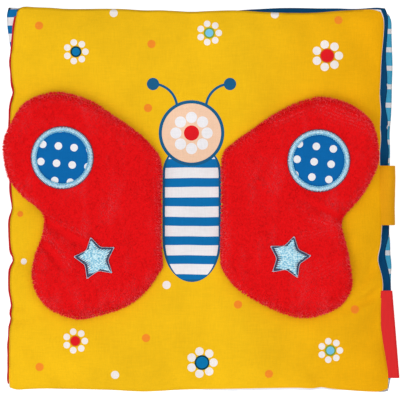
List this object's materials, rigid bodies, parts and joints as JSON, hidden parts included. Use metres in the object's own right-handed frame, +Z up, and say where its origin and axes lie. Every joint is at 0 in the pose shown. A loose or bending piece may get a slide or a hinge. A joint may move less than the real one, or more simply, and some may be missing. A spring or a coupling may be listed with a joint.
{
  "type": "crinkle cloth book",
  "caption": "Soft square cloth book with padded covers and leaves, raised plush wings on the front cover, a fold-over closure strap and a side label.",
  "frame": {"origin": "middle of the back cover's flat underside, where the closed book rests", "axes": "+X from the spine to the fore-edge, +Y from the foot of the book to its head, +Z up through the covers, out of the front cover"},
  "size_m": [0.1762, 0.17, 0.0361],
  "materials": {
    "striped_cotton": "matt printed cotton, blue and white stripes",
    "red_cotton": "matt plain cotton",
    "spine_cloth": "matt plain cotton",
    "wadding": "soft polyester wadding",
    "crinkle_film": "crisp polyester film",
    "loop_tape": "brushed loop tape",
    "hook_tape": "moulded hook tape",
    "teal_cotton": "matt printed cotton, white dashes",
    "yellow_cotton": "matt printed cotton",
    "navy_cotton": "matt printed cotton",
    "pale_blue_cotton": "matt printed cotton",
    "cover_print": "matt printed cotton, small flowers and dots",
    "lining_cotton": "matt plain cotton",
    "label_ribbon": "woven satin ribbon",
    "strap_cotton": "matt cotton",
    "red_plush": "short brushed plush",
    "dot_cotton": "matt cotton, white dots",
    "satin_thread": "satin stitched thread",
    "star_thread": "satin stitched thread"
  },
  "bodies": {
    "back_cover": {"back_cover_panel": "striped_cotton", "back_cover_lining": "striped_cotton", "back_cover_wadding": "wadding", "back_cover_crinkle_film": "crinkle_film", "loop_tape": "loop_tape", "spine_strip": "spine_cloth"},
    "leaf_two": {"leaf_two_front_panel": "teal_cotton", "leaf_two_back_panel": "yellow_cotton", "leaf_two_wadding": "wadding"},
    "leaf_one": {"leaf_one_front_panel": "navy_cotton", "leaf_one_back_panel": "pale_blue_cotton", "leaf_one_wadding": "wadding", "leaf_one_crinkle_film": "crinkle_film"},
    "front_cover": {"front_cover_panel": "cover_print", "front_cover_lining": "lining_cotton", "front_cover_wadding": "wadding", "front_cover_crinkle_film": "crinkle_film", "side_label": "label_ribbon", "closure_strap_root": "strap_cotton"},
    "left_wing": {"left_wing_plush": "red_plush", "left_wing_backing": "red_cotton", "left_wing_wadding": "wadding", "left_dot_patch": "dot_cotton", "left_patch_ring": "satin_thread", "left_star": "star_thread"},
    "right_wing": {"right_wing_plush": "red_plush", "right_wing_backing": "red_cotton", "right_wing_wadding": "wadding", "right_dot_patch": "dot_cotton", "right_patch_ring": "satin_thread", "right_star": "star_thread"},
    "strap_side": {"closure_strap_side": "strap_cotton"},
    "strap_end": {"closure_strap_end": "strap_cotton", "hook_tape": "hook_tape"}
  },
  "joints": [
    {"name": "cover_open", "type": "hinge", "parent": "back_cover", "child": "front_cover", "pos_m": [-0.0873, 0, 0.01815], "axis": [0, -1, 0], "range_deg": [0, 180], "deforming": ["spine_strip", "closure_strap_side", "closure_strap_end", "hook_tape"]},
    {"name": "leaf_one_turn", "type": "hinge", "parent": "back_cover", "child": "leaf_one", "pos_m": [-0.0873, 0, 0.01815], "axis": [0, -1, 0], "range_deg": [0, 120], "deforming": ["spine_strip"]},
    {"name": "leaf_two_turn", "type": "hinge", "parent": "back_cover", "child": "leaf_two", "pos_m": [-0.0873, 0, 0.01815], "axis": [0, -1, 0], "range_deg": [0, 60], "deforming": ["spine_strip"]},
    {"name": "left_wing_lift", "type": "hinge", "parent": "front_cover", "child": "left_wing", "pos_m": [-0.0159, 0, 0.0286], "axis": [0, 1, 0], "range_deg": [0, 90]},
    {"name": "right_wing_lift", "type": "hinge", "parent": "front_cover", "child": "right_wing", "pos_m": [0.0091, 0, 0.0286], "axis": [0, -1, 0], "range_deg": [0, 90]},
    {"name": "strap_unfold", "type": "hinge", "parent": "front_cover", "child": "strap_side", "pos_m": [0.0871, 0.002, 0.0248], "axis": [0, -1, 0], "range_deg": [0, 90]},
    {"name": "strap_end_unfold", "type": "hinge", "parent": "strap_side", "child": "strap_end", "pos_m": [0.0871, 0.002, 0.0007], "axis": [0, -1, 0], "range_deg": [0, 90]}
  ],
  "couplings": [
    {"joint": "leaf_one_turn", "follows": "cover_open", "ratio": 0.6666},
    {"joint": "leaf_two_turn", "follows": "cover_open", "ratio": 0.3333},
    {"joint": "strap_end_unfold", "follows": "strap_unfold", "ratio": 1}
  ]
}
